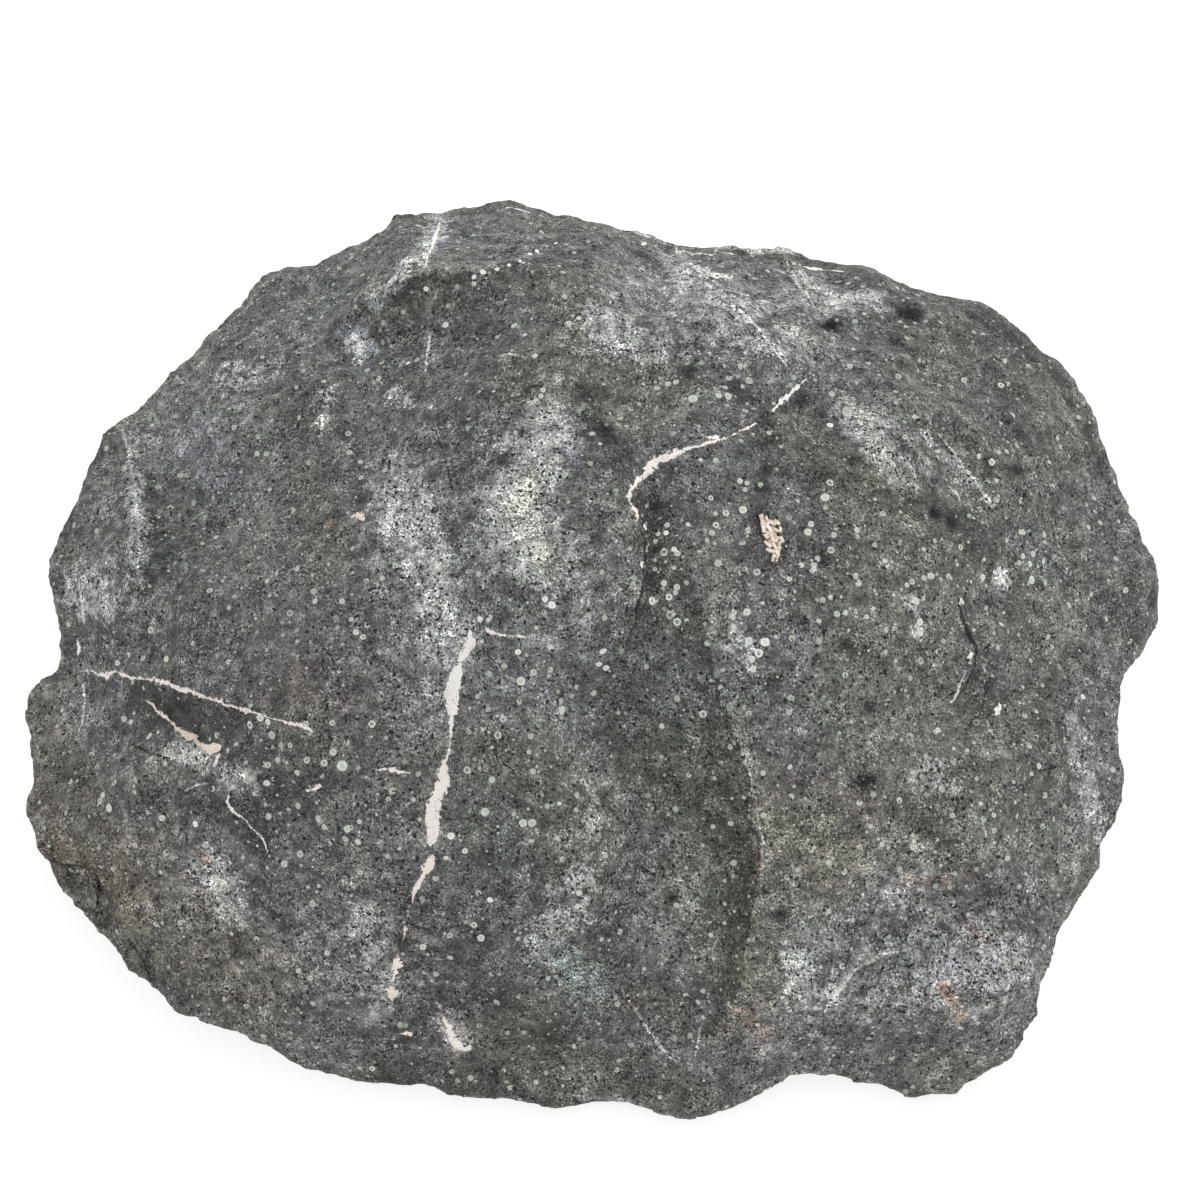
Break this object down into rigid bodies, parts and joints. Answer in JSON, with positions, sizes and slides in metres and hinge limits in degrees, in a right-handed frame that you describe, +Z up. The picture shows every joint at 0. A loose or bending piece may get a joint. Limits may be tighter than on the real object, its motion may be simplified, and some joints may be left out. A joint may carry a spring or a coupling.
{
  "type": "apophyllite geode",
  "caption": "Closed basalt geode lying on its broken underside: a rough domed lump with ridges and ledges, pale mineral veins and round white-green fillings.",
  "frame": {"origin": "middle of the bounding box at the ground, on the plane of the flat spot that the rock rests on", "axes": "+X along the longest side, to the right as seen from the front; +Y towards the back; +Z up out of the dome"},
  "size_m": [0.4548, 0.3742, 0.1615],
  "materials": {
    "basalt": "rough broken grey-green basalt with pale veins, chalky bloom and round mineral fillings"
  },
  "bodies": {
    "root": {"basalt_rock": "basalt"}
  },
  "joints": []
}
